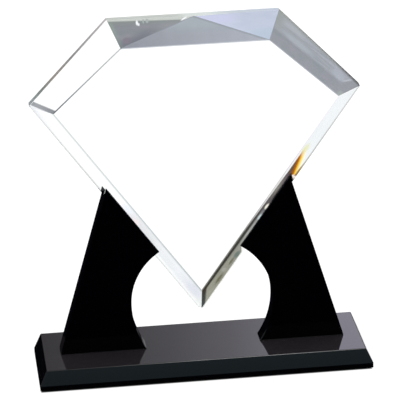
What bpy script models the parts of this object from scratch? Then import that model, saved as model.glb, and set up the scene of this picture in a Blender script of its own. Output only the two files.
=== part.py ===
"""Crystal award: a clear gem-outline plaque seated in two grooved black supports on a black base.

World frame in metres: X along the base, Y from front (-) to back (+), Z up. The resting face is z = 0.
"""
import math

import bmesh
import bpy
from mathutils import Vector

MM = 0.001

# ---- driving dimensions, millimetres ------------------------------------
GAP = 0.3              # clearance between neighbouring pieces
FILM = 0.2             # cured adhesive film

PAD_LENGTH = 238.0     # felt pad under the base
PAD_DEPTH = 62.0
PAD_THICK = 1.0
PAD_CORNER = 4.0
PAD_CORNER_STEPS = 6

BASE_LENGTH = 251.2    # black base block
BASE_DEPTH = 73.6
BASE_HEIGHT = 15.6
BASE_EDGE = 4.0        # upright edge at the bottom
BASE_SLOPE_X = 5.2     # how far the ends lean in above the edge
BASE_SLOPE_Y = 2.0     # how far the front leans in
BASE_SLOPE_BACK = 1.3  # how far the back leans in
BASE_ARRIS = 0.5       # ground-off sharp edges

SUP_THICK = 14.9       # black supports
SUP_FOOT_X = 107.8     # outer corner at the base's top
SUP_TIP_X = 68.5       # outer corner at the top
SUP_TIP_Z = 148.5
# The two supports are cut by hand: -1 is the left one, 1 the right one.
SUP_OVERLAP = {-1: 5.3, 1: 6.0}     # how far the slanted edge reaches past the plaque's outline
CUT_WIDE_X = {-1: 52.9, 1: 54.1}    # rounded cut on the inner side: its widest point
CUT_WIDE_Z = {-1: 54.2, 1: 52.0}
CUT_R_UP = {-1: 48.3, 1: 51.0}      # its radius above that point
CUT_R_LOW = {-1: 72.8, 1: 62.7}     # its radius below it
ARC_STEPS = 22                      # in each of the two arcs

PLQ_TOP_X = 63.2       # plaque outline, half widths and heights
PLQ_TOP_Z = 275.45
PLQ_SIDE_X = 122.25
PLQ_SIDE_Z = 214.1
PLQ_TIP_Z = 42.75      # where the two lower edges would meet
PLQ_TIP_FLAT_Z = 45.6  # the point is ground flat here
PLQ_FRONT_Y = -9.3     # front face
PLQ_BACK_Y = 5.7       # flat back
BEV_LOW_W = 11.15      # bevel width along the two lower edges
BEV_LOW_H = 6.9        # bevel depth there
FACE_TOP_X = 54.5      # front face, top corners
FACE_TOP_Z = 256.0
FACE_SIDE_X = 105.3    # front face, side corners
STAR_H = 6.6           # bevel depth at the middle of the top edge

# ---- derived levels ------------------------------------------------------
BASE_Z0 = PAD_THICK + GAP
BASE_TOP = BASE_Z0 + BASE_HEIGHT
SUP_Z0 = BASE_TOP + GAP + FILM + GAP
SEAT_DEPTH = GAP + FILM + GAP    # groove floor below the plaque's edge


def clear_scene():
    for obj in list(bpy.data.objects):
        bpy.data.objects.remove(obj, do_unlink=True)


def material(name, colour, roughness, metallic=0.0, alpha=1.0):
    mat = bpy.data.materials.new(name)
    mat.use_nodes = True
    bsdf = mat.node_tree.nodes["Principled BSDF"]
    bsdf.inputs["Base Color"].default_value = (colour[0], colour[1], colour[2], 1.0)
    bsdf.inputs["Roughness"].default_value = roughness
    bsdf.inputs["Metallic"].default_value = metallic
    bsdf.inputs["Alpha"].default_value = alpha
    return mat


def solid(name, verts, faces, mat=None):
    """A closed body from points in millimetres."""
    mesh = bpy.data.meshes.new(name)
    mesh.from_pydata([(x * MM, y * MM, z * MM) for x, y, z in verts], [], faces)
    bm = bmesh.new()
    bm.from_mesh(mesh)
    bmesh.ops.recalc_face_normals(bm, faces=bm.faces)
    bm.to_mesh(mesh)
    bm.free()
    obj = bpy.data.objects.new(name, mesh)
    bpy.context.collection.objects.link(obj)
    if mat is not None:
        mesh.materials.append(mat)
    return obj


def ring_faces(count, levels):
    """Side quads between stacked rings plus the two end caps."""
    faces = [list(range(count))[::-1], list(range((levels - 1) * count, levels * count))]
    for level in range(levels - 1):
        for i in range(count):
            j = (i + 1) % count
            a = level * count
            faces.append([a + i, a + j, a + count + j, a + count + i])
    return faces


def plate(name, outline, y0, y1, mat=None):
    """An outline in X and Z given a thickness along Y."""
    verts = [(x, y0, z) for x, z in outline] + [(x, y1, z) for x, z in outline]
    return solid(name, verts, ring_faces(len(outline), 2), mat)


def slab(name, x0, x1, y0, y1, z0, z1, mat=None):
    verts = [(x, y, z) for z in (z0, z1) for x, y in ((x0, y0), (x1, y0), (x1, y1), (x0, y1))]
    return solid(name, verts, ring_faces(4, 2), mat)


# ---- lines in the X, Z plane, written for the right-hand side -------------
def unit(v):
    return v.normalized()


CORNER = Vector((PLQ_SIDE_X, PLQ_SIDE_Z))
TIP = Vector((0.0, PLQ_TIP_Z))
ALONG = unit(TIP - CORNER)                    # down the lower right edge
INWARD = Vector((ALONG.y, -ALONG.x))          # from that edge into the plaque
if INWARD.dot(Vector((0.0, PLQ_SIDE_Z)) - CORNER) < 0:
    INWARD = -INWARD


def on_edge(along, inward):
    """Point at a distance along the lower edge and a depth into the plaque."""
    return CORNER + ALONG * along + INWARD * inward


def meet(p, d, q, e):
    """Where the line p + d meets the line q + e, as a distance along d."""
    cross = d.x * e.y - d.y * e.x
    w = q - p
    return (w.x * e.y - w.y * e.x) / cross


def arc_meet(p, d, side):
    """Where a line running down the lower edge first meets the rounded cut."""
    w = p - Vector((CUT_WIDE_X[side] - CUT_R_UP[side], CUT_WIDE_Z[side]))
    b = w.dot(d)
    c = w.dot(w) - CUT_R_UP[side] ** 2
    return -b - math.sqrt(b * b - c)


FOOT = Vector((SUP_FOOT_X, BASE_TOP))
OUTER = unit(Vector((SUP_TIP_X, SUP_TIP_Z)) - FOOT)     # up the sloped outer edge


def support_outline(side):
    wide_x, wide_z, up, down = CUT_WIDE_X[side], CUT_WIDE_Z[side], CUT_R_UP[side], CUT_R_LOW[side]
    start = on_edge(0.0, SUP_OVERLAP[side])
    top = start + ALONG * meet(start, ALONG, FOOT, OUTER)
    low = start + ALONG * arc_meet(start, ALONG, side)
    foot = FOOT + OUTER * ((SUP_Z0 - FOOT.y) / OUTER.y)
    points = [(foot.x, foot.y), (top.x, top.y)]
    first = math.asin((low.y - wide_z) / up)
    last = math.asin((SUP_Z0 - wide_z) / down)
    for i in range(ARC_STEPS + 1):
        a = first * (1 - i / ARC_STEPS)
        points.append((wide_x - up + up * math.cos(a), wide_z + up * math.sin(a)))
    for i in range(1, ARC_STEPS + 1):
        a = last * i / ARC_STEPS
        points.append((wide_x - down + down * math.cos(a), wide_z + down * math.sin(a)))
    return points


def seat_cutter(name, side):
    """The groove that takes the plaque's edge: floor, flat back wall, sloped front wall."""
    slope = BEV_LOW_H / BEV_LOW_W
    lift = GAP * math.sqrt(1.0 + slope * slope)
    edge_y = PLQ_FRONT_Y + BEV_LOW_H - lift
    reach = 20.0
    section = [
        (-SEAT_DEPTH, PLQ_BACK_Y + GAP),
        (reach, PLQ_BACK_Y + GAP),
        (reach, edge_y - slope * reach),
        (-SEAT_DEPTH, edge_y + slope * SEAT_DEPTH),
    ]
    verts = []
    for along in (-20.0, (TIP - CORNER).length + 10.0):
        for inward, y in section:
            p = on_edge(along, inward)
            verts.append((side * p.x, y, p.y))
    cutter = solid(name, verts, ring_faces(4, 2))
    cutter.hide_render = True
    cutter.display_type = "WIRE"
    return cutter


def support(name, side, mat):
    outline = [(side * x, z) for x, z in support_outline(side)]
    body = plate(name, outline, -SUP_THICK / 2, SUP_THICK / 2, mat)
    cut = body.modifiers.new("seat", "BOOLEAN")
    cut.operation = "DIFFERENCE"
    cut.solver = "EXACT"
    cut.object = seat_cutter(name + "_seat_cutter", side)
    return body


def plaque_bond(name, side, mat):
    """Film on the groove floor, from just inside the outer edge to just short of the cut."""
    inset = 1.5
    low, high = -(GAP + FILM), -GAP
    y0 = PLQ_FRONT_Y + BEV_LOW_H + 0.4
    y1 = PLQ_BACK_Y - 0.3
    start = on_edge(0.0, low)
    s0 = meet(start, ALONG, FOOT, OUTER) + inset
    s1 = arc_meet(start, ALONG, side) - inset
    verts = []
    for y in (y0, y1):
        for along, inward in ((s0, low), (s1, low), (s1, high), (s0, high)):
            p = on_edge(along, inward)
            verts.append((side * p.x, y, p.y))
    return solid(name, verts, ring_faces(4, 2), mat)


def support_bond(name, side, mat):
    inset = 0.6
    outline = support_outline(side)
    x0 = outline[-1][0] + inset
    x1 = outline[0][0] - inset
    xs = sorted((side * x0, side * x1))
    half = SUP_THICK / 2 - inset
    return slab(name, xs[0], xs[1], -half, half, BASE_TOP + GAP, BASE_TOP + GAP + FILM, mat)


def plaque(name, mat):
    side_z = TIP.y + (BEV_LOW_W - INWARD.x * FACE_SIDE_X) / INWARD.y
    tip_z = TIP.y + BEV_LOW_W / INWARD.y
    outer = {"TL": (-PLQ_TOP_X, PLQ_TOP_Z), "TR": (PLQ_TOP_X, PLQ_TOP_Z),
             "R": (PLQ_SIDE_X, PLQ_SIDE_Z), "B": (0.0, PLQ_TIP_Z), "L": (-PLQ_SIDE_X, PLQ_SIDE_Z)}
    face = {"TL": (-FACE_TOP_X, FACE_TOP_Z), "TR": (FACE_TOP_X, FACE_TOP_Z),
            "R": (FACE_SIDE_X, side_z), "B": (0.0, tip_z), "L": (-FACE_SIDE_X, side_z)}
    # the upper side bevels are flat, so their depth grows with the width
    p, q = Vector(face["R"]), Vector(face["TR"])
    line = unit(q - p)
    wide = [abs((Vector(outer[k]) - p).x * line.y - (Vector(outer[k]) - p).y * line.x) for k in ("TR", "R")]
    top_h = BEV_LOW_H * wide[0] / wide[1]
    depth = {"TL": top_h, "TR": top_h, "R": BEV_LOW_H, "B": BEV_LOW_H, "L": BEV_LOW_H}
    order = ["TL", "TR", "R", "B", "L"]
    verts = []

    def add(x, y, z):
        verts.append((x, y, z))
        return len(verts) - 1

    front = {k: add(face[k][0], PLQ_FRONT_Y, face[k][1]) for k in order}
    girdle = {k: add(outer[k][0], PLQ_FRONT_Y + depth[k], outer[k][1]) for k in order}
    back = {k: add(outer[k][0], PLQ_BACK_Y, outer[k][1]) for k in order}
    star = add(0.0, PLQ_FRONT_Y + STAR_H, PLQ_TOP_Z)
    faces = [[front[k] for k in order], [back[k] for k in order]]
    # three flat facets fan out to the middle of the top edge
    faces.append([front["TL"], girdle["TL"], star])
    faces.append([front["TL"], star, front["TR"]])
    faces.append([front["TR"], star, girdle["TR"]])
    faces.append([girdle["TL"], star, girdle["TR"], back["TR"], back["TL"]])
    for i in range(1, 5):
        a, b = order[i], order[(i + 1) % 5]
        faces.append([front[a], front[b], girdle[b], girdle[a]])
        faces.append([girdle[a], girdle[b], back[b], back[a]])
    body = solid(name, verts, faces, mat)
    # grind the point flat
    bm = bmesh.new()
    bm.from_mesh(body.data)
    cut = bmesh.ops.bisect_plane(bm, geom=bm.verts[:] + bm.edges[:] + bm.faces[:],
                                 plane_co=(0.0, 0.0, PLQ_TIP_FLAT_Z * MM), plane_no=(0.0, 0.0, 1.0), clear_inner=True)
    rim = [g for g in cut["geom_cut"] if isinstance(g, bmesh.types.BMEdge)]
    bmesh.ops.edgeloop_fill(bm, edges=rim)
    bmesh.ops.recalc_face_normals(bm, faces=bm.faces)
    bm.to_mesh(body.data)
    bm.free()
    return body


def base(name, mat):
    hx, hy = BASE_LENGTH / 2, BASE_DEPTH / 2
    levels = (
        (hx, -hy, hy, BASE_Z0),
        (hx, -hy, hy, BASE_Z0 + BASE_EDGE),
        (hx - BASE_SLOPE_X, BASE_SLOPE_Y - hy, hy - BASE_SLOPE_BACK, BASE_TOP),
    )
    verts = [(x, y, z) for lx, y0, y1, z in levels
             for x, y in ((-lx, y0), (lx, y0), (lx, y1), (-lx, y1))]
    block = solid(name, verts, ring_faces(4, 3), mat)
    arris = block.modifiers.new("arris", "BEVEL")
    arris.width = BASE_ARRIS * MM
    arris.segments = 2
    arris.limit_method = "ANGLE"
    arris.angle_limit = math.radians(40.0)
    return block


def felt_pad(name, mat):
    outline = []
    for cx, cy, a0 in ((1, 1, 0.0), (-1, 1, 90.0), (-1, -1, 180.0), (1, -1, 270.0)):
        for i in range(PAD_CORNER_STEPS + 1):
            a = math.radians(a0 + 90.0 * i / PAD_CORNER_STEPS)
            outline.append((cx * (PAD_LENGTH / 2 - PAD_CORNER) + PAD_CORNER * math.cos(a),
                            cy * (PAD_DEPTH / 2 - PAD_CORNER) + PAD_CORNER * math.sin(a)))
    verts = [(x, y, z) for z in (0.0, PAD_THICK) for x, y in outline]
    return solid(name, verts, ring_faces(len(outline), 2), mat)


def build():
    clear_scene()
    clear = (0.93, 0.95, 0.96)
    black = (0.004, 0.004, 0.005)
    film = (0.86, 0.88, 0.86)
    felt_pad("felt_pad", material("felt", (0.012, 0.012, 0.013), 0.95))
    base("base", material("base_black", black, 0.04))
    for word, side in (("left", -1), ("right", 1)):
        support(word + "_support", side, material(word + "_support_black", black, 0.04))
        support_bond("support_bond_" + word, side, material("support_film_" + word, film, 0.2, alpha=0.6))
        plaque_bond("plaque_bond_" + word, side, material("plaque_film_" + word, film, 0.2, alpha=0.6))
    plaque("crystal_plaque", material("clear_crystal", clear, 0.02, alpha=0.35))


build()
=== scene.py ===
"""Looks of the crystal award: clear bevelled plaque, black grooved supports, black base, felt underside.

World frame in metres: X along the base, Y from front (-) to back (+), Z up.
"""
import math

import bmesh
import bpy
from mathutils import Matrix, Vector
from mathutils.geometry import intersect_point_line


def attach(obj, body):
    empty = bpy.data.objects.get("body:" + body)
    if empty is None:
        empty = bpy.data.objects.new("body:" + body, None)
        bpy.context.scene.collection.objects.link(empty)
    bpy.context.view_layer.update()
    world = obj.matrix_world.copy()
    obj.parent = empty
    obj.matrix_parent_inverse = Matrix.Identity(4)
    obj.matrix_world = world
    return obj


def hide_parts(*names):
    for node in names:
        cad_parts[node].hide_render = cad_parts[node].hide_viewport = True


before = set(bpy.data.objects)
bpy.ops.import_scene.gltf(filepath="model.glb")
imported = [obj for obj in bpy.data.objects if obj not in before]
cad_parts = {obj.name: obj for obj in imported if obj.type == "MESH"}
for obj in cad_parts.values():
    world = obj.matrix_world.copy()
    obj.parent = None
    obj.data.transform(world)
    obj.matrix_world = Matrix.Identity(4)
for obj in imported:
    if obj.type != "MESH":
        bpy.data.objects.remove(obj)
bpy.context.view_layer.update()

MM = 0.001
SCENE = bpy.context.scene
ROOT = "root"

# ---- sizes that the CAD part also has, millimetres -------------------------
BASE_LENGTH, BASE_DEPTH, BASE_HEIGHT = 251.2, 73.6, 15.6
BASE_EDGE, BASE_SLOPE_X, BASE_SLOPE_Y, BASE_SLOPE_BACK = 4.0, 5.2, 2.0, 1.3
BASE_Z0 = 1.3
BASE_TOP = BASE_Z0 + BASE_HEIGHT
SUP_THICK, SUP_FOOT_X, SUP_TIP_X, SUP_TIP_Z = 14.9, 107.8, 68.5, 148.5
# the two supports are cut by hand: -1 is the left one, 1 the right one
SUP_OVERLAP = {-1: 5.3, 1: 6.0}
CUT_WIDE_X, CUT_WIDE_Z = {-1: 52.9, 1: 54.1}, {-1: 54.2, 1: 52.0}
CUT_R_UP, CUT_R_LOW, ARC_STEPS = {-1: 48.3, 1: 51.0}, {-1: 72.8, 1: 62.7}, 48
SUP_Z0 = BASE_TOP + 0.1    # the film under a support is squeezed thin
PLQ_TOP_X, PLQ_TOP_Z = 63.2, 275.45
PLQ_SIDE_X, PLQ_SIDE_Z = 122.25, 214.1
PLQ_TIP_Z, PLQ_TIP_FLAT_Z = 42.75, 45.6
PLQ_FRONT_Y, PLQ_BACK_Y = -9.3, 5.7
BEV_LOW_W, BEV_LOW_H = 11.15, 6.9
FACE_TOP_X, FACE_TOP_Z, FACE_SIDE_X = 54.5, 256.0, 105.3
STAR_H = 6.6


# ---- node helpers -----------------------------------------------------------
class Nodes:
    """Short way to lay out a node tree."""

    def __init__(self, tree):
        self.tree = tree

    def add(self, kind, **props):
        node = self.tree.nodes.new(kind)
        for key, value in props.items():
            setattr(node, key, value)
        return node

    def link(self, a, b):
        self.tree.links.new(a, b)

    def fill(self, socket, value):
        if isinstance(value, tuple):
            socket.default_value = (*value, 1.0) if len(value) == 3 and len(socket.default_value) == 4 else value
        elif isinstance(value, (int, float)):
            socket.default_value = value
        else:
            self.link(value, socket)

    def math(self, op, a, b=None, c=None, clamp=False):
        node = self.add("ShaderNodeMath", operation=op, use_clamp=clamp)
        for socket, value in zip(node.inputs, (a, b, c)):
            if value is not None:
                self.fill(socket, value)
        return node.outputs[0]

    def product(self, first, *rest):
        for value in rest:
            first = self.math("MULTIPLY", first, value)
        return first

    def ramp(self, factor, stops, interpolation="LINEAR"):
        node = self.add("ShaderNodeValToRGB")
        node.color_ramp.interpolation = interpolation
        elements = node.color_ramp.elements
        while len(elements) < len(stops):
            elements.new(0.5)
        for element, (position, colour) in zip(elements, stops):
            element.position = position
            element.color = (*colour, 1.0)
        self.link(factor, node.inputs["Fac"])
        return node.outputs["Color"]

    def tones(self, value, stops):
        """Colour by a distance in millimetres."""
        low, high = stops[0][0], stops[-1][0]
        factor = self.math("DIVIDE", self.math("SUBTRACT", value, low), high - low, clamp=True)
        return self.ramp(factor, [((at - low) / (high - low), colour) for at, colour in stops])

    def mix(self, factor, a, b, blend="MIX"):
        node = self.add("ShaderNodeMix", data_type="RGBA", blend_type=blend)
        for socket, value in ((node.inputs[0], factor), (node.inputs[6], a), (node.inputs[7], b)):
            self.fill(socket, value)
        return node.outputs[2]

    def object_coords(self):
        return self.add("ShaderNodeTexCoord").outputs["Object"]

    def noise(self, vector, scale, detail=2.0, roughness=0.5):
        node = self.add("ShaderNodeTexNoise")
        node.inputs["Scale"].default_value = scale
        node.inputs["Detail"].default_value = detail
        node.inputs["Roughness"].default_value = roughness
        self.link(vector, node.inputs["Vector"])
        return node.outputs["Fac"]

    def mm(self, vector, origin, direction):
        """Millimetres past a point, in a direction."""
        d = Vector(direction).normalized()
        node = self.add("ShaderNodeVectorMath", operation="DOT_PRODUCT")
        self.link(vector, node.inputs[0])
        node.inputs[1].default_value = d
        return self.math("MULTIPLY_ADD", node.outputs["Value"], 1.0 / MM, -Vector(origin).dot(d))

    def smooth(self, value, low, high):
        """0 at low, 1 at high, eased between them; low may be the larger."""
        node = self.add("ShaderNodeMapRange", interpolation_type="SMOOTHSTEP")
        self.link(value, node.inputs["Value"])
        node.inputs["From Min"].default_value = low
        node.inputs["From Max"].default_value = high
        return node.outputs["Result"]

    def stripe(self, value, centre, half, soft):
        """1 close to a value, 0 away from it."""
        return self.smooth(self.math("ABSOLUTE", self.math("SUBTRACT", value, centre)), half + soft, half)

    def spot(self, u, v, u0, v0, ru, rv):
        a = self.math("DIVIDE", self.math("SUBTRACT", u, u0), ru)
        b = self.math("DIVIDE", self.math("SUBTRACT", v, v0), rv)
        far = self.math("SQRT", self.math("ADD", self.product(a, a), self.product(b, b)))
        return self.smooth(far, 1.0, 0.35)

    def flow(self, u, v, along, across, seed):
        """Noise drawn out along one of two distances in millimetres."""
        node = self.add("ShaderNodeCombineXYZ")
        self.link(self.math("DIVIDE", u, along), node.inputs[0])
        self.link(self.math("DIVIDE", v, across), node.inputs[1])
        node.inputs[2].default_value = seed
        return self.noise(node.outputs[0], 1.0, 3.0, 0.55)


def srgb(r, g, b):
    """Linear light of an 8-bit screen colour."""
    return tuple(v / 12.92 if v <= 0.04045 else ((v + 0.055) / 1.055) ** 2.4 for v in (r / 255, g / 255, b / 255))


def new_material(name):
    mat = bpy.data.materials.new(name)
    mat.use_nodes = True
    n = Nodes(mat.node_tree)
    return mat, n, mat.node_tree.nodes["Principled BSDF"]


def crystal(name, paint=None, roughness=0.0):
    """Polished crystal. A crossing of its surface tints light by the root of the base colour; a paint puts painted
    light and shade into that colour.
    """
    mat, n, bsdf = new_material(name)
    bsdf.inputs["Transmission Weight"].default_value = 1.0
    bsdf.inputs["IOR"].default_value = 1.517
    bsdf.inputs["Roughness"].default_value = roughness
    coords = n.object_coords()
    if paint is None:
        tint_and_painted_light = n.ramp(n.noise(coords, 22.0, 3.0), [(0.3, (0.985, 0.988, 0.988)), (0.7, (1.0, 1.0, 1.0))])
    else:
        tint_and_painted_light = paint(n, coords)
    n.link(n.mix(1.0, tint_and_painted_light, tint_and_painted_light, "MULTIPLY"), bsdf.inputs["Base Color"])
    return mat


def black_glass(name, body, roughness, fleck=0.15, shine=0.5):
    """Black crystal: almost no body colour, with the faint mottling of hand polishing."""
    mat, n, bsdf = new_material(name)
    coords = n.object_coords()
    cloud = n.noise(coords, 35.0, 4.0)
    bsdf.inputs["IOR"].default_value = 1.52
    bsdf.inputs["Specular IOR Level"].default_value = shine
    n.link(n.ramp(cloud, [(0.3, tuple(c * (1 - fleck) for c in body)), (0.7, body)]), bsdf.inputs["Base Color"])
    polish = n.noise(coords, 120.0, 3.0)
    rough = n.math("MULTIPLY", n.math("ADD", polish, 0.5), roughness)
    n.link(rough, bsdf.inputs["Roughness"])
    return mat


def base_glass():
    """Black crystal of the base; its upward face alone carries a faint warm diffuse colour, painted light from above.
    """
    mat, n, bsdf = new_material("base_black")
    coords = n.object_coords()
    cloud = n.noise(coords, 28.0, 4.0)
    bsdf.inputs["IOR"].default_value = 1.52
    normal = n.add("ShaderNodeSeparateXYZ")
    n.link(n.add("ShaderNodeNewGeometry").outputs["Normal"], normal.inputs[0])
    # painted light from above: faces that look up get this faint warm colour, the others stay nearly black
    lit_top_colour = n.ramp(cloud, [(0.3, (0.0171, 0.0150, 0.0172)), (0.7, (0.0185, 0.0164, 0.0187))])
    n.link(n.mix(n.smooth(normal.outputs["Z"], 0.9, 0.99), (0.0006, 0.0006, 0.0009), lit_top_colour), bsdf.inputs["Base Color"])
    polish = n.noise(coords, 120.0, 3.0)
    n.link(n.math("MULTIPLY", n.math("ADD", polish, 0.5), 0.03), bsdf.inputs["Roughness"])
    return mat


def ground_edge(name, paint):
    """Crystal wall that is ground and only half polished, so that it scatters part of the light; its colour is painted
    light and shade.
    """
    mat, n, bsdf = new_material(name)
    bsdf.inputs["Transmission Weight"].default_value = 0.12
    bsdf.inputs["IOR"].default_value = 1.517
    bsdf.inputs["Roughness"].default_value = 0.3
    n.link(paint(n, n.object_coords()), bsdf.inputs["Base Color"])
    return mat


# ---- meshes -----------------------------------------------------------------
def mesh_object(name, verts, faces, materials, indices=None):
    mesh = bpy.data.meshes.new(name)
    mesh.from_pydata([tuple(c * MM for c in v) for v in verts], [], faces)
    for mat in materials:
        mesh.materials.append(mat)
    if indices:
        for polygon, index in zip(mesh.polygons, indices):
            polygon.material_index = index
    bm = bmesh.new()
    bm.from_mesh(mesh)
    bmesh.ops.recalc_face_normals(bm, faces=bm.faces)
    bm.to_mesh(mesh)
    bm.free()
    obj = bpy.data.objects.new(name, mesh)
    SCENE.collection.objects.link(obj)
    return obj


def ring_faces(count, levels):
    faces = [list(range(count))[::-1], list(range((levels - 1) * count, levels * count))]
    for level in range(levels - 1):
        for i in range(count):
            j = (i + 1) % count
            a = level * count
            faces.append([a + i, a + j, a + count + j, a + count + i])
    return faces


def bevel(obj, width, segments, angle=35.0):
    mod = obj.modifiers.new("arris", "BEVEL")
    mod.width = width * MM
    mod.segments = segments
    mod.limit_method = "ANGLE"
    mod.angle_limit = math.radians(angle)
    mod.use_clamp_overlap = True
    return mod


def settle(obj, sharp=18.0):
    """Turns the modifiers into plain mesh; a curved run is shaded smooth."""
    graph = bpy.context.evaluated_depsgraph_get()
    mesh = bpy.data.meshes.new_from_object(obj.evaluated_get(graph))
    obj.modifiers.clear()
    old = obj.data
    obj.data = mesh
    bpy.data.meshes.remove(old)
    mesh.name = obj.name
    if sharp:
        mesh.shade_smooth()
        mesh.set_sharp_from_angle(angle=math.radians(sharp))
    return mesh


# ---- outline of the lower edge, right-hand side ------------------------------
CORNER = Vector((PLQ_SIDE_X, PLQ_SIDE_Z))
TIP = Vector((0.0, PLQ_TIP_Z))
ALONG = (TIP - CORNER).normalized()
INWARD = Vector((ALONG.y, -ALONG.x))
if INWARD.dot(Vector((0.0, PLQ_SIDE_Z)) - CORNER) < 0:
    INWARD = -INWARD
FOOT = Vector((SUP_FOOT_X, BASE_TOP))
OUTER = (Vector((SUP_TIP_X, SUP_TIP_Z)) - FOOT).normalized()
FACE_SIDE_Z = TIP.y + (BEV_LOW_W - INWARD.x * FACE_SIDE_X) / INWARD.y
FACE_TIP_Z = TIP.y + BEV_LOW_W / INWARD.y


def on_edge(along, inward):
    return CORNER + ALONG * along + INWARD * inward


def meet(p, d, q, e):
    w = q - p
    return (w.x * e.y - w.y * e.x) / (d.x * e.y - d.y * e.x)


def arc_meet(p, d, side):
    w = p - Vector((CUT_WIDE_X[side] - CUT_R_UP[side], CUT_WIDE_Z[side]))
    b = w.dot(d)
    return -b - math.sqrt(b * b - (w.dot(w) - CUT_R_UP[side] ** 2))


def seat_span(side):
    """Where a support starts and ends along the lower edge."""
    start = on_edge(0.0, 0.0)
    return meet(start, ALONG, FOOT, OUTER), arc_meet(start, ALONG, side)


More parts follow.
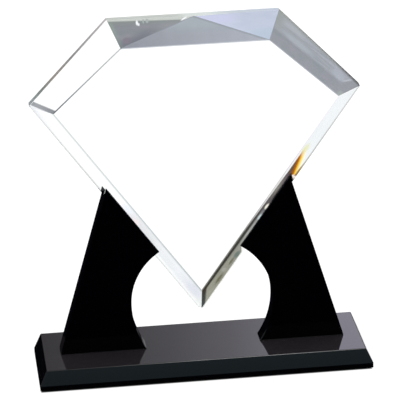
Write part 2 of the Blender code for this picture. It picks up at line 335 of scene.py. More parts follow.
# ---- plaque -------------------------------------------------------------------
def build_plaque(materials):
    outer = {"TL": (-PLQ_TOP_X, PLQ_TOP_Z), "TR": (PLQ_TOP_X, PLQ_TOP_Z),
             "R": (PLQ_SIDE_X, PLQ_SIDE_Z), "B": (0.0, PLQ_TIP_Z), "L": (-PLQ_SIDE_X, PLQ_SIDE_Z)}
    face = {"TL": (-FACE_TOP_X, FACE_TOP_Z), "TR": (FACE_TOP_X, FACE_TOP_Z),
            "R": (FACE_SIDE_X, FACE_SIDE_Z), "B": (0.0, FACE_TIP_Z), "L": (-FACE_SIDE_X, FACE_SIDE_Z)}
    p, q = Vector(face["R"]), Vector(face["TR"])
    line = (q - p).normalized()
    wide = [abs((Vector(outer[k]) - p).x * line.y - (Vector(outer[k]) - p).y * line.x) for k in ("TR", "R")]
    top_h = BEV_LOW_H * wide[0] / wide[1]
    depth = {"TL": top_h, "TR": top_h, "R": BEV_LOW_H, "B": BEV_LOW_H, "L": BEV_LOW_H}
    order = ["TL", "TR", "R", "B", "L"]
    names = list(materials)
    verts, faces, index = [], [], []

    def add(x, y, z):
        verts.append((x, y, z))
        return len(verts) - 1

    def facet(points, slot):
        faces.append(points)
        index.append(names.index(slot))

    front = {k: add(face[k][0], PLQ_FRONT_Y, face[k][1]) for k in order}
    girdle = {k: add(outer[k][0], PLQ_FRONT_Y + depth[k], outer[k][1]) for k in order}
    back = {k: add(outer[k][0], PLQ_BACK_Y, outer[k][1]) for k in order}
    star = add(0.0, PLQ_FRONT_Y + STAR_H, PLQ_TOP_Z)
    facet([front[k] for k in order], "face")
    facet([front["TL"], girdle["TL"], star], "top_left")
    facet([front["TL"], star, front["TR"]], "top_mid")
    facet([front["TR"], star, girdle["TR"]], "top_right")
    facet([girdle["TL"], star, girdle["TR"], back["TR"], back["TL"]], "wall_top")
    for a, b, slot, wall in (("TR", "R", "upper_right", "wall_right"), ("L", "TL", "upper_left", "wall_left")):
        facet([front[a], front[b], girdle[b], girdle[a]], slot)
        facet([girdle[a], girdle[b], back[b], back[a]], wall)
    # the lower walls meet the supports along part of their length, where they are bonded
    seats = {}
    girdle_y = PLQ_FRONT_Y + BEV_LOW_H
    for side, corner, slot in ((1, "R", "lower_right"), (-1, "L", "lower_left")):
        run = []
        for s in seat_span(side):
            point = on_edge(s, 0.0)
            run.append((add(side * point.x, girdle_y, point.y), add(side * point.x, PLQ_BACK_Y, point.y)))
        seats[corner] = run
        (g0, b0), (g1, b1) = run
        facet([front[corner], front["B"], girdle["B"], g1, g0, girdle[corner]], slot)
        facet([girdle[corner], g0, b0, back[corner]], "wall_lower")
        facet([g0, g1, b1, b0], "bonded")
        facet([g1, girdle["B"], back["B"], b1], "wall_lower")
    (_, rb0), (_, rb1) = seats["R"]
    (_, lb0), (_, lb1) = seats["L"]
    facet([back["TL"], back["TR"], back["R"], rb0, rb1, back["B"], lb1, lb0, back["L"]], "back")
    obj = mesh_object("plaque", verts, faces, [materials[k] for k in names], index)

    def point(i):
        return Vector(verts[i]) * MM

    # arrises that show as lines, with the slot each one takes; the rest are finer
    lines = [(front["L"], front["TL"], "line_upper_left", 1.0), (front["TL"], front["TR"], "line_top", 0.7),
             (front["TR"], front["R"], "line_upper_right", 0.7), (front["L"], front["B"], "line_lower_left", 1.0),
             (front["R"], front["B"], "line_lower_right", 1.0), (girdle["L"], girdle["B"], "rim_lower_left", 1.0),
             (girdle["R"], girdle["B"], "rim_lower_right", 0.8), (front["TL"], star, "line_star", 0.4),
             (front["TR"], star, "line_star", 0.6), (front["TR"], girdle["TR"], "line_star", 0.4),
             (front["L"], girdle["L"], "line_corner", 0.4), (front["B"], girdle["B"], "line_point", 0.4),
             (girdle["TL"], star, "line_crest", 0.4), (star, girdle["TR"], "line_crest", 0.4),
             (girdle["TR"], girdle["R"], "rim_upper_right", 0.4), (back["TR"], back["R"], "rim_upper_right", 0.4),
             (girdle["TL"], back["TL"], "wall_top", 0.4), (girdle["TR"], back["TR"], "wall_top", 0.4)]
    lines = [(point(a), point(b), slot, weight) for a, b, slot, weight in lines]

    def nearest(centre):
        best = (1.0, None, 0.0)
        for a, b, slot, weight in lines:
            foot, t = intersect_point_line(centre, a, b)
            if -0.02 < t < 1.02:
                gap = (centre - foot).length
                if gap < best[0]:
                    best = (gap, slot, weight)
        return best

    mesh = obj.data
    bm = bmesh.new()
    bm.from_mesh(mesh)
    # the point is ground flat
    cut = bmesh.ops.bisect_plane(bm, geom=bm.verts[:] + bm.edges[:] + bm.faces[:],
                                 plane_co=(0.0, 0.0, PLQ_TIP_FLAT_Z * MM), plane_no=(0.0, 0.0, 1.0), clear_inner=True)
    rim = [g for g in cut["geom_cut"] if isinstance(g, bmesh.types.BMEdge)]
    bmesh.ops.edgeloop_fill(bm, edges=rim, mat_nr=names.index("wall_lower"))
    bmesh.ops.recalc_face_normals(bm, faces=bm.faces)
    layer = bm.edges.layers.float.new("bevel_weight_edge")
    for edge in bm.edges:
        if edge.calc_face_angle(0.0) > math.radians(2.0):
            gap, slot, weight = nearest((edge.verts[0].co + edge.verts[1].co) / 2)
            edge[layer] = weight if gap < 1e-5 else 0.4
    bm.to_mesh(mesh)
    bm.free()
    mod = obj.modifiers.new("arris", "BEVEL")
    mod.limit_method = "WEIGHT"
    mod.width = 0.5 * MM
    mod.segments = 1
    mod.material = names.index("arris")
    mod.use_clamp_overlap = True
    mesh = settle(obj, None)
    arris = names.index("arris")
    for polygon in mesh.polygons:
        if polygon.material_index == arris:
            gap, slot, weight = nearest(Vector(polygon.center))
            if slot and gap < 0.6 * MM:
                polygon.material_index = names.index(slot)
    return obj


# ---- painted light and shade: the tones the facets show, painted into their colour ---
# s runs along an edge of the outline from its upper end, w runs inward from that edge.
def edge_axes(side, start, end):
    a, b = Vector((side * start[0], 0.0, start[1])), Vector((side * end[0], 0.0, end[1]))
    along = (b - a).normalized()
    inward = Vector((-along.z, 0.0, along.x))
    if inward.dot(Vector((0.0, 0.0, 200.0)) - a) < 0:
        inward = -inward
    return a, along, inward


UPPER = ((PLQ_TOP_X, PLQ_TOP_Z), (PLQ_SIDE_X, PLQ_SIDE_Z))
LOWER = ((PLQ_SIDE_X, PLQ_SIDE_Z), (0.0, PLQ_TIP_Z))
WHITE = (1.0, 1.0, 1.0)


def edge_coords(n, coords, side, edge):
    origin, along, inward = edge_axes(side, *edge)
    return n.mm(coords, origin, along), n.mm(coords, origin, inward)


def shimmer(n, coords, tint_and_painted_light, amount=0.03, scale=30.0):
    """Slight unevenness of a polished facet."""
    low = 1.0 - amount
    return n.mix(1.0, tint_and_painted_light, n.ramp(n.noise(coords, scale, 3.0), [(0.3, (low, low, low)), (0.7, WHITE)]), "MULTIPLY")


def top_coords(n, coords):
    """Along the top edge from the middle, and down from it."""
    return n.mm(coords, (0.0, 0.0, 0.0), (1.0, 0.0, 0.0)), n.mm(coords, (0.0, 0.0, PLQ_TOP_Z), (0.0, 0.0, -1.0))


def from_line(n, coords, a, b, inside):
    """Distance from a line through two points of the front, positive on one side of it."""
    p, q, k = Vector((a[0], 0.0, a[1])), Vector((b[0], 0.0, b[1])), Vector((inside[0], 0.0, inside[1]))
    d = (q - p).normalized()
    normal = Vector((-d.z, 0.0, d.x))
    if normal.dot(k - p) < 0:
        normal = -normal
    return n.mm(coords, p, normal)


STAR_POINT = (0.0, PLQ_TOP_Z)


def paint_face(n, coords):
    s, w = edge_coords(n, coords, 1, LOWER)
    tint_and_painted_light = n.ramp(n.noise(coords, 12.0, 2.0), [(0.35, (0.985, 0.99, 0.99)), (0.65, WHITE)])
    shade = n.product(n.smooth(w, 12.0, 11.0), n.smooth(s, 105.0, 130.0))
    return n.mix(shade, tint_and_painted_light, srgb(150, 150, 148))


def paint_top_left(n, coords):
    x, down = top_coords(n, coords)
    left = from_line(n, coords, (-FACE_TOP_X, FACE_TOP_Z), (-PLQ_TOP_X, PLQ_TOP_Z), STAR_POINT)
    right = from_line(n, coords, (-FACE_TOP_X, FACE_TOP_Z), STAR_POINT, (-PLQ_TOP_X, PLQ_TOP_Z))
    # painted shade: streaked grey tones, darker along the mitre to the star, with a purple-grey spot
    tint_and_painted_light = n.ramp(n.flow(x, down, 13.0, 3.5, 3.1),
                  [(0.32, srgb(133, 139, 145)), (0.5, srgb(138, 141, 148)), (0.68, srgb(144, 144, 151))])
    tint_and_painted_light = n.mix(n.smooth(x, -38.0, -12.0), tint_and_painted_light, srgb(148, 151, 156))
    tint_and_painted_light = n.mix(n.smooth(down, 5.5, 1.0), tint_and_painted_light, srgb(139, 146, 144))
    tint_and_painted_light = n.mix(n.product(n.smooth(right, 7.0, 0.4), n.smooth(x, -21.0, -41.0)), tint_and_painted_light, srgb(119, 122, 131))
    tint_and_painted_light = n.mix(n.spot(x, down, -49.5, 14.2, 4.0, 3.0), tint_and_painted_light, srgb(131, 125, 137))
    tint_and_painted_light = n.mix(n.smooth(left, 4.4, 0.8), tint_and_painted_light, n.tones(down, [(0.0, srgb(139, 149, 145)), (6.0, srgb(146, 158, 153)),
                                                               (12.0, srgb(138, 147, 147)), (19.0, srgb(121, 129, 130))]))
    # painted light: a pale strip like the ground top edge runs over the facet towards the middle
    crest = n.math("MULTIPLY_ADD", x, -0.0155, n.math("SUBTRACT", down, 1.96))
    tint_and_painted_light = n.mix(n.smooth(crest, 0.6, -0.4), tint_and_painted_light, srgb(200, 204, 200))
    # glints
    tint_and_painted_light = n.mix(n.spot(x, down, -41.2, 2.8, 1.2, 2.3), tint_and_painted_light, srgb(250, 252, 255))
    tint_and_painted_light = n.mix(n.spot(x, down, -40.1, 3.9, 1.1, 1.4), tint_and_painted_light, srgb(236, 240, 244))
    tint_and_painted_light = n.mix(n.spot(x, down, -36.6, 2.0, 1.0, 2.2), tint_and_painted_light, srgb(164, 173, 172))
    tint_and_painted_light = n.mix(n.spot(x, down, -33.8, 1.8, 1.6, 2.0), tint_and_painted_light, srgb(168, 176, 175))
    lean = n.math("MULTIPLY_ADD", down, 1.52, x)
    return n.mix(n.spot(lean, down, -5.0, 1.2, 1.5, 2.0), tint_and_painted_light, srgb(242, 245, 247))


def paint_top_mid(n, coords):
    x, down = top_coords(n, coords)
    edge = from_line(n, coords, STAR_POINT, (FACE_TOP_X, FACE_TOP_Z), (0.0, FACE_TOP_Z))
    # painted shade: grey tones that grow lighter from left to right
    tint_and_painted_light = n.tones(x, [(-54.0, srgb(142, 145, 154)), (-30.0, srgb(150, 154, 163)), (0.0, srgb(158, 162, 171)),
                       (30.0, srgb(165, 169, 179)), (54.0, srgb(170, 174, 184))])
    tint_and_painted_light = n.mix(n.product(n.smooth(down, 14.0, 4.0), n.smooth(x, -34.0, -6.0)), tint_and_painted_light, srgb(165, 173, 180))
    drift = n.ramp(n.flow(x, down, 7.0, 12.0, 7.7), [(0.3, (0.97, 0.98, 0.98)), (0.7, (1.02, 1.02, 1.02))])
    tint_and_painted_light = n.mix(1.0, tint_and_painted_light, drift, "MULTIPLY")
    return n.mix(n.smooth(edge, 1.5, 0.2), tint_and_painted_light, srgb(154, 162, 169))


def paint_top_right(n, coords):
    x, down = top_coords(n, coords)
    # painted shade: pale lavender-grey tones, darker low down at the right
    tint_and_painted_light = n.ramp(n.flow(x, down, 14.0, 2.6, 1.9),
                  [(0.3, srgb(188, 197, 215)), (0.5, srgb(191, 199, 217)), (0.7, srgb(195, 202, 221))])
    tint_and_painted_light = n.mix(n.smooth(x, 44.0, 4.0), tint_and_painted_light, srgb(201, 208, 227))
    tint_and_painted_light = n.mix(n.math("MULTIPLY", n.spot(x, down, 15.0, 2.8, 24.0, 5.5), 0.8), tint_and_painted_light, srgb(202, 204, 230))
    low = n.product(n.smooth(down, 8.0, 15.0), n.smooth(x, 32.0, 48.0))
    return n.mix(low, tint_and_painted_light, srgb(181, 194, 211))


def paint_upper_left(n, coords):
    # painted shade and light: a grey band along the mitre, and a bright wedge between it and the lower facet
    s, w = edge_coords(n, coords, -1, UPPER)
    across = n.math("MULTIPLY_ADD", w, 0.43, s)
    grey = n.tones(w, [(0.0, srgb(150, 155, 158)), (3.0, srgb(160, 163, 167)), (9.0, srgb(153, 155, 160)),
                       (15.0, srgb(136, 139, 144))])
    tint_and_painted_light = shimmer(n, coords, WHITE, 0.012)
    tint_and_painted_light = n.mix(n.smooth(across, 79.7, 80.9), tint_and_painted_light, grey)
    return n.mix(n.smooth(across, 83.2, 84.2), tint_and_painted_light, srgb(240, 243, 246))


def paint_upper_right(n, coords):
    s, w = edge_coords(n, coords, 1, UPPER)
    slant = n.math("MULTIPLY_ADD", s, 0.0615, w)
    # painted shade: streaked greys over the facet
    tint_and_painted_light = n.ramp(n.flow(s, slant, 24.0, 1.5, 5.3),
                  [(0.3, srgb(152, 158, 164)), (0.5, srgb(161, 165, 173)), (0.7, srgb(169, 173, 183))])
    tint_and_painted_light = n.mix(n.spot(s, slant, 18.0, 3.9, 17.0, 2.2), tint_and_painted_light, srgb(168, 173, 179))
    tint_and_painted_light = n.mix(n.spot(s, slant, 21.0, 6.7, 15.0, 1.3), tint_and_painted_light, srgb(155, 160, 166))
    tint_and_painted_light = n.mix(n.spot(s, slant, 27.0, 9.6, 20.0, 2.2), tint_and_painted_light, srgb(167, 173, 180))
    tint_and_painted_light = n.mix(n.spot(s, w, 67.0, 5.0, 9.0, 3.8), tint_and_painted_light, srgb(170, 175, 185))
    # painted shade: beyond a slanted line the facet is painted darker
    fold = n.math("SUBTRACT", slant, 11.7)
    inner = n.ramp(n.flow(s, w, 9.0, 3.0, 9.4),
                   [(0.3, srgb(140, 148, 154)), (0.5, srgb(146, 149, 156)), (0.7, srgb(151, 150, 160))])
    tint_and_painted_light = n.mix(n.smooth(fold, -1.0, 1.2), tint_and_painted_light, inner)
    tint_and_painted_light = n.mix(n.product(n.smooth(s, 13.0, 2.0), n.smooth(w, 13.0, 7.0)), tint_and_painted_light, srgb(154, 160, 159))
    end = n.math("MULTIPLY_ADD", w, 0.968, n.math("SUBTRACT", s, 78.9))
    tint_and_painted_light = n.mix(n.product(n.stripe(end, -1.1, 0.3, 0.7), n.smooth(w, 6.5, 4.5)), tint_and_painted_light, srgb(179, 183, 191))
    tint_and_painted_light = n.mix(n.smooth(end, -0.4, 0.7), tint_and_painted_light, srgb(149, 151, 158))
    tint_and_painted_light = n.mix(n.spot(s, w, 77.0, 14.0, 4.5, 3.5), tint_and_painted_light, srgb(159, 166, 165))
    # painted shade: a dark band along the outer edge, darkest towards the lower corner
    return n.mix(n.smooth(w, 1.5, 0.2), tint_and_painted_light, n.tones(s, [(0.0, srgb(150, 157, 153)), (40.0, srgb(153, 158, 157)),
                                                         (58.0, srgb(148, 151, 153)), (70.0, srgb(130, 133, 137)),
                                                         (84.0, srgb(112, 114, 116))]))


def paint_lower_left(n, coords):
    s, w = edge_coords(n, coords, -1, LOWER)
    # painted light and shade: near-white, with pale grey beside the support, pale spots, a grey line inside and a grey
    # line along the outer edge
    tint_and_painted_light = n.ramp(n.flow(s, w, 30.0, 4.0, 4.2),
                  [(0.3, srgb(247, 252, 251)), (0.5, srgb(254, 254, 254)), (0.7, srgb(250, 249, 254))])
    pale_shade = n.tones(s, [(96.0, srgb(250, 251, 252)), (118.0, srgb(230, 230, 233)), (140.0, srgb(226, 229, 230)),
                       (152.0, srgb(236, 238, 240)), (175.0, srgb(234, 238, 241)), (188.0, srgb(235, 235, 238)),
                       (205.0, srgb(233, 238, 236))])
    cloud = n.ramp(n.flow(s, w, 14.0, 5.0, 6.4), [(0.35, (0.97, 0.98, 0.98)), (0.65, (1.02, 1.01, 1.02))])
    pale_shade = n.mix(1.0, pale_shade, cloud, "MULTIPLY")
    tint_and_painted_light = n.mix(n.product(n.smooth(s, 94.0, 112.0), n.smooth(w, 0.5, 4.0)), tint_and_painted_light, pale_shade)
    tint_and_painted_light = n.mix(n.spot(s, w, 108.0, 8.0, 7.0, 2.4), tint_and_painted_light, srgb(236, 242, 249))
    tint_and_painted_light = n.mix(n.spot(s, w, 120.0, 6.4, 5.0, 2.2), tint_and_painted_light, srgb(241, 231, 233))
    tint_and_painted_light = n.mix(n.spot(s, w, 191.0, 7.5, 13.0, 6.0), tint_and_painted_light, srgb(224, 227, 235))
    tint_and_painted_light = n.mix(n.product(n.smooth(w, 6.0, 1.0), n.smooth(s, 34.0, 4.0)), tint_and_painted_light, srgb(236, 238, 243))
    tint_and_painted_light = n.mix(n.smooth(w, 9.6, 10.7), tint_and_painted_light, n.tones(s, [(0.0, srgb(232, 235, 236)), (100.0, srgb(222, 227, 228)),
                                                          (150.0, srgb(214, 219, 221)), (200.0, srgb(212, 218, 220))]))
    return n.mix(n.smooth(w, 2.0, 0.7), tint_and_painted_light, n.tones(s, [(0.0, srgb(228, 230, 232)), (30.0, srgb(221, 223, 224)),
                                                         (70.0, srgb(212, 214, 214)), (150.0, srgb(223, 227, 227)),
                                                         (205.0, srgb(232, 236, 235))]))


def paint_lower_right(n, coords):
    s, w = edge_coords(n, coords, 1, LOWER)
    w = n.math("SUBTRACT", w, 0.2)
    tint_and_painted_light = n.ramp(n.flow(s, w, 30.0, 3.0, 8.8), [(0.3, srgb(233, 238, 240)), (0.7, srgb(240, 243, 245))])
    # warm flash above the support, cut off short of it
    tint_and_painted_light = n.mix(n.spot(s, w, 61.0, 8.0, 6.5, 3.2), tint_and_painted_light, srgb(230, 232, 196))
    core = n.math("MULTIPLY_ADD", s, 0.287, n.math("SUBTRACT", w, 7.75 + 0.287 * 64.0))
    slant = n.math("MULTIPLY_ADD", w, -0.35, s)
    flash = n.tones(core, [(-3.6, srgb(244, 247, 248)), (-2.2, srgb(255, 252, 210)), (0.0, srgb(250, 200, 62)),
                           (1.6, srgb(176, 96, 16)), (3.6, srgb(112, 84, 60)), (6.0, srgb(96, 84, 84))])
    glow = n.product(n.smooth(s, 59.0, 69.0), n.smooth(w, 9.7, 8.6), n.smooth(core, -3.4, -2.2))
    tint_and_painted_light = n.mix(glow, tint_and_painted_light, flash)
    tint_and_painted_light = n.mix(n.product(n.smooth(slant, 81.6, 82.5), n.smooth(w, 6.0, 4.8)), tint_and_painted_light, srgb(244, 232, 226))
    # painted shade along the outer edge, warmer and darker towards the support
    lip = n.math("MULTIPLY_ADD", n.smooth(s, 70.0, 79.0), -0.7, w)
    tint_and_painted_light = n.mix(n.product(n.smooth(lip, 1.8, 0.7), n.smooth(slant, 83.6, 82.6)), tint_and_painted_light,
                 n.tones(s, [(0.0, srgb(205, 208, 209)), (30.0, srgb(203, 205, 205)), (50.0, srgb(192, 194, 194)),
                             (62.0, srgb(190, 191, 189)), (72.0, srgb(180, 174, 158)), (78.0, srgb(160, 136, 90)),
                             (84.0, srgb(146, 114, 70))]))
    # painted shade: a dark band that runs on beside the support to the point, with a pale edge inside it
    inside = n.math("MINIMUM", n.math("MULTIPLY_ADD", n.math("SUBTRACT", s, 84.0), 0.031, 9.05), 10.9)
    gap = n.math("SUBTRACT", w, inside)
    band = n.tones(s, [(84.0, srgb(100, 88, 94)), (97.0, srgb(132, 131, 124)), (107.0, srgb(101, 96, 96)),
                       (132.0, srgb(64, 64, 61)), (180.0, srgb(57, 56, 49)), (209.0, srgb(64, 63, 57))])
    band = n.mix(n.product(n.smooth(w, 7.6, 5.8), n.smooth(s, 112.0, 104.0)), band, srgb(60, 54, 58))
    fringe = n.product(n.smooth(gap, -0.2, 0.6), n.smooth(slant, 80.0, 88.0), n.smooth(s, 142.0, 116.0))
    tint_and_painted_light = n.mix(fringe, tint_and_painted_light, srgb(219, 216, 216))
    tint_and_painted_light = n.mix(n.product(n.smooth(slant, 79.0, 82.6), n.smooth(gap, 0.6, -0.5), n.smooth(w, 4.4, 5.8)), tint_and_painted_light, band)
    # painted shade: a paler part between the band and the edge, beside the support, then free
    rim = n.math("MINIMUM", n.math("MULTIPLY_ADD", n.math("MAXIMUM", n.math("SUBTRACT", s, 150.0), 0.0), 0.02, 7.9), 8.5)
    step = n.math("SUBTRACT", w, rim)
    pale = n.tones(s, [(112.0, srgb(112, 112, 116)), (121.0, srgb(140, 141, 143)), (139.0, srgb(166, 166, 162)),
                       (148.0, srgb(149, 150, 143)), (180.0, srgb(148, 148, 134)), (198.0, srgb(161, 162, 149))])
    mottle = n.ramp(n.flow(s, w, 7.0, 2.0, 2.2), [(0.3, (0.90, 0.91, 0.90)), (0.7, (1.06, 1.05, 1.05))])
    pale = n.mix(1.0, pale, mottle, "MULTIPLY")
    pale = n.mix(n.spot(s, w, 157.8, 3.2, 4.6, 2.8), pale, srgb(110, 124, 117))
    pale = n.mix(n.spot(s, w, 164.5, 3.9, 4.6, 1.5), pale, srgb(116, 116, 98))
    pale = n.mix(n.spot(s, w, 181.0, 3.8, 7.0, 1.9), pale, srgb(114, 113, 94))
    pale = n.mix(n.spot(s, w, 172.8, 5.4, 2.6, 3.0), pale, srgb(160, 160, 153))
    tint_and_painted_light = n.mix(n.product(n.smooth(s, 110.0, 122.0), n.smooth(step, 0.7, -0.7)), tint_and_painted_light, pale)
    # painted image of the black support: the strip of facet next to it is painted nearly black
    beside = n.product(n.smooth(s, 84.5, 87.5), n.smooth(s, 150.6, 149.4))
    tint_and_painted_light = n.mix(n.product(beside, n.smooth(w, 6.1, 5.1)), tint_and_painted_light, srgb(5, 5, 6))
    tint_and_painted_light = n.mix(n.spot(s, w, 113.8, 6.6, 3.4, 1.7), tint_and_painted_light, srgb(236, 232, 218))
    tint_and_painted_light = n.mix(n.spot(s, w, 123.6, 6.5, 3.6, 1.4), tint_and_painted_light, srgb(188, 203, 203))
    # painted shade: a dark strip along the mitre at the point
    x = n.mm(coords, (0.0, 0.0, 47.0), (1.0, 0.0, 0.0))
    rise = n.mm(coords, (0.0, 0.0, 47.0), (0.0, 0.0, 1.0))
    strip = n.math("MULTIPLY_ADD", rise, -0.05, x)
    tint_and_painted_light = n.mix(n.smooth(strip, 4.0, 2.0), tint_and_painted_light, n.tones(rise, [(0.0, srgb(72, 78, 77)), (9.0, srgb(66, 68, 64)),
                                                                (16.0, srgb(60, 53, 44))]))
    # the very edge catches the light, most where the support lets go of it
    tint_and_painted_light = n.mix(n.product(n.smooth(s, 150.0, 155.0), n.smooth(w, 1.4, 0.6)), tint_and_painted_light, srgb(238, 239, 236))
    free = n.math("MULTIPLY_ADD", n.math("SUBTRACT", s, 150.0), 0.85, n.math("SUBTRACT", w, 4.8))
    return n.mix(n.product(n.smooth(free, 0.5, -0.5), n.smooth(s, 149.4, 150.6)), tint_and_painted_light, srgb(247, 247, 246))


def along_tones(side, edge, stops):
    def paint(n, coords):
        s, _ = edge_coords(n, coords, side, edge)
        return shimmer(n, coords, n.tones(s, [(at, srgb(*colour)) for at, colour in stops]), 0.02, 60.0)
    return paint


def even_tone(colour):
    def paint(n, coords):
        return shimmer(n, coords, srgb(*colour), 0.03, 40.0)
    return paint


def across_tones(stops):
    """Painted light and shade along the top edge, with streaks that run the same way."""
    def paint(n, coords):
        x, _ = top_coords(n, coords)
        streaks = n.flow(x, n.mm(coords, (0.0, 0.0, 0.0), (0.0, 1.0, 0.0)), 22.0, 1.6, 2.7)
        tint_and_painted_light = n.tones(x, [(at, srgb(*colour)) for at, colour in stops])
        return n.mix(1.0, tint_and_painted_light, n.ramp(streaks, [(0.3, (0.90, 0.91, 0.90)), (0.7, (1.03, 1.03, 1.03))]), "MULTIPLY")
    return paint


# ---- supports, base, bonds ------------------------------------------------------
def support_outline(side):
    wide_x, wide_z, up, down = CUT_WIDE_X[side], CUT_WIDE_Z[side], CUT_R_UP[side], CUT_R_LOW[side]
    start = on_edge(0.0, SUP_OVERLAP[side])
    top = start + ALONG * meet(start, ALONG, FOOT, OUTER)
    low = start + ALONG * arc_meet(start, ALONG, side)
    foot = FOOT + OUTER * ((SUP_Z0 - FOOT.y) / OUTER.y)
    points = [(foot.x, foot.y), (top.x, top.y)]
    first = math.asin((low.y - wide_z) / up)
    last = math.asin((SUP_Z0 - wide_z) / down)
    for i in range(ARC_STEPS + 1):
        a = first * (1 - i / ARC_STEPS)
        points.append((wide_x - up + up * math.cos(a), wide_z + up * math.sin(a)))
    for i in range(1, ARC_STEPS + 1):
        a = last * i / ARC_STEPS
        points.append((wide_x - down + down * math.cos(a), wide_z + down * math.sin(a)))
    return points


def build_support(name, side, mat):
    outline = [(side * x, z) for x, z in support_outline(side)]
    half = SUP_THICK / 2
    verts = [(x, -half, z) for x, z in outline] + [(x, half, z) for x, z in outline]
    obj = mesh_object(name, verts, ring_faces(len(outline), 2), [mat])
    bevel(obj, 0.35, 2)
    settle(obj)
    # groove that takes the plaque's edge, a hair's breadth clear of it
    clear = 0.04
    slope = BEV_LOW_H / BEV_LOW_W
    edge_y = PLQ_FRONT_Y + BEV_LOW_H - clear * math.sqrt(1.0 + slope * slope)
    reach = 20.0
    section = [(-clear, PLQ_BACK_Y + clear), (reach, PLQ_BACK_Y + clear),
               (reach, edge_y - slope * reach), (-clear, edge_y + slope * clear)]
    points = []
    for along in (-20.0, (TIP - CORNER).length + 10.0):
        for inward, y in section:
            p = on_edge(along, inward)
            points.append((side * p.x, y, p.y))
    cutter = mesh_object(name + "_cutter", points, ring_faces(4, 2), [mat])
    cut = obj.modifiers.new("seat", "BOOLEAN")
    cut.operation = "DIFFERENCE"
    cut.solver = "EXACT"
    cut.object = cutter
    settle(obj)
    bpy.data.objects.remove(cutter)
    return obj


def build_base(name, mat):
    hx, hy = BASE_LENGTH / 2, BASE_DEPTH / 2
    levels = ((hx, -hy, hy, BASE_Z0), (hx, -hy, hy, BASE_Z0 + BASE_EDGE),
              (hx - BASE_SLOPE_X, BASE_SLOPE_Y - hy, hy - BASE_SLOPE_BACK, BASE_TOP))
    verts = [(x, y, z) for lx, y0, y1, z in levels for x, y in ((-lx, y0), (lx, y0), (lx, y1), (-lx, y1))]
    obj = mesh_object(name, verts, ring_faces(4, 3), [mat])
    # the two back corners are ground rounder than the other edges
    bm = bmesh.new()
    bm.from_mesh(obj.data)
    layer = bm.edges.layers.float.new("bevel_weight_edge")
    for edge in bm.edges:
        a, b = (v.co / MM for v in edge.verts)
        if edge.calc_face_angle(0.0) > math.radians(30.0):
            edge[layer] = 1.0 if abs(a.z - b.z) > 1.0 and min(a.y, b.y) > 0.0 else 0.4
    bm.to_mesh(obj.data)
    bm.free()
    mod = bevel(obj, 1.25, 14)
    mod.limit_method = "WEIGHT"
    settle(obj, 3.0)
    return obj


def build_bond(name, side, mat):
    """Adhesive under a support: fills the joint, drawn in a little at its edge."""
    outline = support_outline(side)
    x0, x1 = sorted((side * outline[-1][0], side * outline[0][0]))
    half = SUP_THICK / 2
    verts = []
    for inset, z in ((0.45, BASE_TOP + 0.02), (0.55, (BASE_TOP + SUP_Z0) / 2), (0.45, SUP_Z0 - 0.02)):
        verts += [(x0 + inset, -half + inset, z), (x1 - inset, -half + inset, z),
                  (x1 - inset, half - inset, z), (x0 + inset, half - inset, z)]
    obj = mesh_object(name, verts, ring_faces(4, 3), [mat])
    return obj


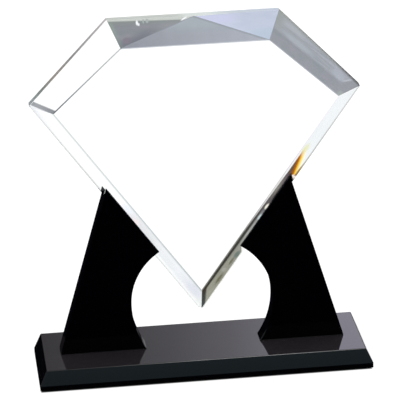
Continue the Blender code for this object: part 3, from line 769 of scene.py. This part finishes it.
# ---- materials ---------------------------------------------------------------------
# the facet, wall and arris colours are painted light and shade: the greys, glints, flash and dark bands the clear
# crystal shows
CRYSTAL = {
    "face": crystal("crystal_face", paint_face),
    "back": crystal("crystal_back"),
    "top_left": crystal("crystal_top_left", paint_top_left),
    "top_mid": crystal("crystal_top_mid", paint_top_mid),
    "top_right": crystal("crystal_top_right", paint_top_right),
    "upper_left": crystal("crystal_upper_left", paint_upper_left),
    "upper_right": crystal("crystal_upper_right", paint_upper_right),
    "lower_left": crystal("crystal_lower_left", paint_lower_left),
    "lower_right": crystal("crystal_lower_right", paint_lower_right),
    "wall_top": ground_edge("crystal_wall_top", across_tones([
        (-62.0, (206, 210, 206)), (-12.0, (208, 213, 209)), (-5.0, (228, 234, 231)), (9.0, (229, 236, 234)),
        (30.0, (208, 216, 226)), (62.0, (202, 211, 227))])),
    "wall_left": ground_edge("crystal_wall_left", along_tones(-1, UPPER, [
        (0.0, (194, 190, 191)), (38.0, (151, 149, 149)), (58.0, (160, 152, 144)), (73.0, (130, 139, 136)),
        (85.0, (152, 160, 165))])),
    "wall_right": ground_edge("crystal_wall_right", along_tones(1, UPPER, [
        (0.0, (150, 156, 153)), (40.0, (152, 156, 156)), (56.0, (142, 145, 146)), (70.0, (116, 119, 122)),
        (84.0, (102, 104, 106))])),
    "wall_lower": crystal("crystal_wall_lower"),
    "bonded": black_glass("bonded_edge", (0.42, 0.38, 0.36), 0.2),
    "arris": crystal("crystal_arris"),
    "line_upper_left": crystal("arris_upper_left", along_tones(-1, UPPER, [
        (0.0, (192, 195, 195)), (30.0, (174, 177, 178)), (50.0, (146, 150, 152)), (66.0, (116, 120, 123)),
        (80.0, (100, 103, 106))])),
    "line_top": crystal("arris_top", even_tone((196, 199, 206))),
    "line_upper_right": crystal("arris_upper_right", even_tone((176, 179, 186))),
    "line_lower_left": crystal("arris_lower_left", along_tones(-1, LOWER, [
        (0.0, (214, 219, 219)), (80.0, (210, 216, 216)), (120.0, (198, 205, 207)), (200.0, (184, 191, 193))])),
    "line_lower_right": crystal("arris_lower_right", along_tones(1, LOWER, [
        (0.0, (238, 238, 242)), (58.0, (236, 234, 242)), (72.0, (232, 225, 236)), (86.0, (222, 218, 219)),
        (106.0, (212, 209, 209)), (118.0, (190, 188, 187)), (130.0, (166, 166, 163)), (150.0, (134, 134, 130)),
        (200.0, (112, 112, 106))])),
    "rim_lower_left": crystal("rim_lower_left", along_tones(-1, LOWER, [
        (0.0, (218, 221, 222)), (30.0, (208, 210, 211)), (84.0, (196, 198, 198)), (150.0, (222, 226, 226)),
        (205.0, (232, 236, 235))])),
    "rim_lower_right": crystal("rim_lower_right", along_tones(1, LOWER, [
        (0.0, (200, 203, 204)), (30.0, (190, 192, 193)), (55.0, (178, 180, 180)), (70.0, (172, 166, 152)), (82.0, (146, 116, 72)),
        (86.0, (240, 236, 230)), (146.0, (240, 240, 238)), (205.0, (240, 241, 238))])),
    "rim_upper_right": crystal("rim_upper_right", along_tones(1, UPPER, [
        (0.0, (152, 158, 155)), (40.0, (154, 158, 158)), (56.0, (144, 147, 148)), (70.0, (120, 123, 126)),
        (84.0, (106, 108, 110))])),
    "line_point": crystal("arris_point", even_tone((205, 211, 209))),
    "line_corner": crystal("arris_corner", along_tones(-1, LOWER, [
        (0.0, (236, 239, 242)), (7.0, (222, 225, 228)), (13.0, (148, 151, 156))])),
    "line_crest": crystal("arris_crest", across_tones([
        (-62.0, (206, 210, 206)), (-12.0, (212, 218, 212)), (0.0, (228, 232, 232)), (30.0, (204, 211, 229)),
        (62.0, (201, 210, 227))])),
    "line_star": crystal("arris_star", even_tone((152, 157, 166))),
}
SUPPORT_BLACK = black_glass("support_black", (0.0002, 0.0002, 0.0005), 0.03)
BASE_BLACK = base_glass()
BOND_FILM = black_glass("support_film", (0.001, 0.001, 0.001), 0.3, shine=0.0)


def felt_material():
    mat, n, bsdf = new_material("black_felt")
    coords = n.object_coords()
    fibres = n.noise(coords, 900.0, 6.0, 0.7)
    patches = n.noise(coords, 60.0, 3.0)
    tone = n.mix(0.35, n.ramp(fibres, [(0.3, (0.006, 0.006, 0.007)), (0.7, (0.035, 0.035, 0.038))]),
                 n.ramp(patches, [(0.3, (0.010, 0.010, 0.011)), (0.7, (0.026, 0.026, 0.028))]))
    n.link(tone, bsdf.inputs["Base Color"])
    bsdf.inputs["Roughness"].default_value = 0.95
    bsdf.inputs["Sheen Weight"].default_value = 0.4
    bsdf.inputs["Sheen Roughness"].default_value = 0.5
    bump = n.add("ShaderNodeBump")
    bump.inputs["Strength"].default_value = 0.6
    bump.inputs["Distance"].default_value = 0.0003
    n.link(fibres, bump.inputs["Height"])
    n.link(bump.outputs["Normal"], bsdf.inputs["Normal"])
    return mat


def adhesive_material():
    mat, n, bsdf = new_material("clear_adhesive")
    coords = n.object_coords()
    bubbles = n.noise(coords, 260.0, 3.0)
    n.link(n.ramp(bubbles, [(0.35, (0.80, 0.83, 0.80)), (0.65, (0.90, 0.91, 0.89))]), bsdf.inputs["Base Color"])
    bsdf.inputs["Roughness"].default_value = 0.2
    return mat


# ---- the object -----------------------------------------------------------------------
plaque = build_plaque(CRYSTAL)
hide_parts("crystal_plaque")
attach(plaque, ROOT)

for word, side in (("left", -1), ("right", 1)):
    leg = build_support("black_support_" + word, side, SUPPORT_BLACK)
    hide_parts(word + "_support")
    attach(leg, ROOT)
    film = build_bond("bond_under_support_" + word, side, BOND_FILM)
    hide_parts("support_bond_" + word)
    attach(film, ROOT)
    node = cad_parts["plaque_bond_" + word]
    node.data.materials.clear()
    node.data.materials.append(adhesive_material())

base = build_base("black_base", BASE_BLACK)
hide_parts("base")
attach(base, ROOT)

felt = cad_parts["felt_pad"]
felt.data.materials.clear()
felt.data.materials.append(felt_material())


# ---- stage: pale floor, soft even light, graded reflectors behind ------------------------
def stage_plane(name, corners, mat):
    obj = mesh_object(name, corners, [list(range(len(corners)))], [mat])
    return obj


def floor_material():
    """Pale lit table that glows evenly; it doesn't glow where the base covers it, a painted contact shadow."""
    mat, n, bsdf = new_material("pale_floor")
    coords = n.object_coords()
    grain = n.noise(coords, 3.0, 2.0)
    n.link(n.ramp(grain, [(0.3, (0.14, 0.14, 0.14)), (0.7, (0.16, 0.16, 0.16))]), bsdf.inputs["Base Color"])
    bsdf.inputs["Roughness"].default_value = 1.0
    bsdf.inputs["Specular IOR Level"].default_value = 0.0
    bsdf.inputs["Emission Color"].default_value = (1.0, 1.0, 1.0, 1.0)
    # painted contact shadow: no glow inside the base's footprint
    out = []
    for axis, half in (((1.0, 0.0, 0.0), BASE_LENGTH / 2 + 1.0), ((0.0, 1.0, 0.0), BASE_DEPTH / 2)):
        out.append(n.smooth(n.math("ABSOLUTE", n.mm(coords, (0.0, 0.0, 0.0), axis)), half - 2.4, half - 1.0))
    n.link(n.math("MULTIPLY", n.math("MAXIMUM", *out), 0.95), bsdf.inputs["Emission Strength"])
    mat.cycles.emission_sampling = "NONE"
    return mat


span = 6000.0
floor = stage_plane("floor", [(-span, -span, -0.2), (span, -span, -0.2), (span, span, -0.2), (-span, span, -0.2)],
                    floor_material())
floor.visible_glossy = False


def reflector_material(name, box, fade, stops):
    """Glowing card, graded from left to right and dying away at its edges."""
    mat = bpy.data.materials.new(name)
    mat.use_nodes = True
    n = Nodes(mat.node_tree)
    mat.node_tree.nodes.remove(mat.node_tree.nodes["Principled BSDF"])
    glow = n.add("ShaderNodeEmission")
    coords = n.object_coords()
    x = n.mm(coords, (0.0, 0.0, 0.0), (1.0, 0.0, 0.0))
    z = n.mm(coords, (0.0, 0.0, 0.0), (0.0, 0.0, 1.0))
    x0, x1, z0, z1 = box
    n.link(n.tones(x, stops), glow.inputs["Color"])
    n.link(n.product(n.smooth(x, x0, x0 + fade), n.smooth(x, x1, x1 - fade),
                     n.smooth(z, z0, z0 + fade), n.smooth(z, z1, z1 - fade)), glow.inputs["Strength"])
    n.link(glow.outputs[0], mat.node_tree.nodes["Material Output"].inputs["Surface"])
    return mat


def reflector(name, box, fade, stops):
    x0, x1, z0, z1 = box
    card = stage_plane(name, [(x0, 600.0, z0), (x1, 600.0, z0), (x1, 600.0, z1), (x0, 600.0, z1)],
                       reflector_material(name, box, fade, stops))
    for flag in ("visible_camera", "visible_diffuse", "visible_transmission", "visible_shadow"):
        setattr(card, flag, False)
    return card


reflector("card", (-170.0, 300.0, 228.0, 344.0), 30.0,
          [(-100.0, (0.17, 0.17, 0.17)), (35.0, (0.45, 0.445, 0.49)), (94.0, (0.69, 0.68, 0.76)),
           (205.0, (1.50, 1.47, 1.74))])
reflector("low_card", (110.0, 270.0, 105.0, 225.0), 30.0, [(110.0, (1.3, 1.3, 1.35)), (270.0, (1.3, 1.3, 1.35))])
reflector("side_card", (165.0, 330.0, -290.0, -90.0), 30.0, [(165.0, (1.0, 1.0, 1.0)), (330.0, (1.0, 1.0, 1.0))])

world = bpy.data.worlds.new("studio")
SCENE.world = world
world.use_nodes = True
w = Nodes(world.node_tree)
background = world.node_tree.nodes["Background"]
path = w.add("ShaderNodeLightPath")
mirror = w.math("MULTIPLY", path.outputs["Is Glossy Ray"], w.math("SUBTRACT", 1.0, path.outputs["Is Transmission Ray"]))
ray = w.add("ShaderNodeTexCoord").outputs["Generated"]
split = w.add("ShaderNodeSeparateXYZ")
w.link(ray, split.inputs[0])
aside, ahead, above = (split.outputs[k] for k in ("X", "Y", "Z"))
front = w.smooth(ahead, -0.2, -0.6)
horizon = w.product(front, w.smooth(above, -0.14, -0.06), w.smooth(above, 0.30, 0.12))
sky = w.mix(horizon, (0.003, 0.003, 0.005), (0.290, 0.400, 0.460))
# strip light overhead in front, and a soft box at each side
strip = w.product(w.smooth(ahead, -0.15, -0.30), w.smooth(above, 0.58, 0.64), w.smooth(above, 0.97, 0.93))
sky = w.mix(strip, sky, w.tones(aside, [(0.06, (1.8, 1.8, 1.8)), (0.075, (3.4, 3.4, 3.4)), (0.10, (10.5, 10.5, 10.5)),
                                        (0.125, (11.5, 11.5, 11.5)), (0.16, (7.0, 7.0, 7.0))]))
boxes = w.product(w.smooth(w.math("ABSOLUTE", aside), 0.80, 0.92), w.smooth(ahead, -0.25, -0.08),
                  w.smooth(above, 0.05, 0.15), w.smooth(above, 0.62, 0.45))
sky = w.mix(boxes, sky, (0.9, 0.9, 0.92))
glow = w.mix(mirror, (1.28, 1.28, 1.28), sky)
w.link(glow, background.inputs["Color"])
background.inputs["Strength"].default_value = 1.0


# ---- camera: long lens from the front, a little to the left and above ----------------------
AZIMUTH, ELEVATION, ROLL = -6.263, 21.086, -1.523
TARGET, DISTANCE, FOCAL = Vector((1.16, 0.0, 131.87)), 2073.92, 2787.435
az, el, roll = (math.radians(a) for a in (AZIMUTH, ELEVATION, ROLL))
look = Vector((-math.sin(az) * math.cos(el), math.cos(az) * math.cos(el), -math.sin(el)))
side_axis = look.cross(Vector((0, 0, 1))).normalized()
up_axis = side_axis.cross(look)
right = side_axis * math.cos(roll) + up_axis * math.sin(roll)
up = up_axis * math.cos(roll) - side_axis * math.sin(roll)
half_pixel = 0.5 * DISTANCE / FOCAL
eye = TARGET - look * DISTANCE + (right - up) * half_pixel
lens = bpy.data.cameras.new("camera")
lens.sensor_width = 36.0
lens.lens = FOCAL * 36.0 / 400.0
lens.clip_start, lens.clip_end = 0.05, 60.0
camera = bpy.data.objects.new("camera", lens)
SCENE.collection.objects.link(camera)
camera.matrix_world = Matrix(((right.x, up.x, -look.x, eye.x * MM), (right.y, up.y, -look.y, eye.y * MM),
                              (right.z, up.z, -look.z, eye.z * MM), (0, 0, 0, 1)))
SCENE.camera = camera

SCENE.view_settings.view_transform = "Standard"
SCENE.cycles.max_bounces = 24
SCENE.cycles.transmission_bounces = 24
SCENE.cycles.glossy_bounces = 8
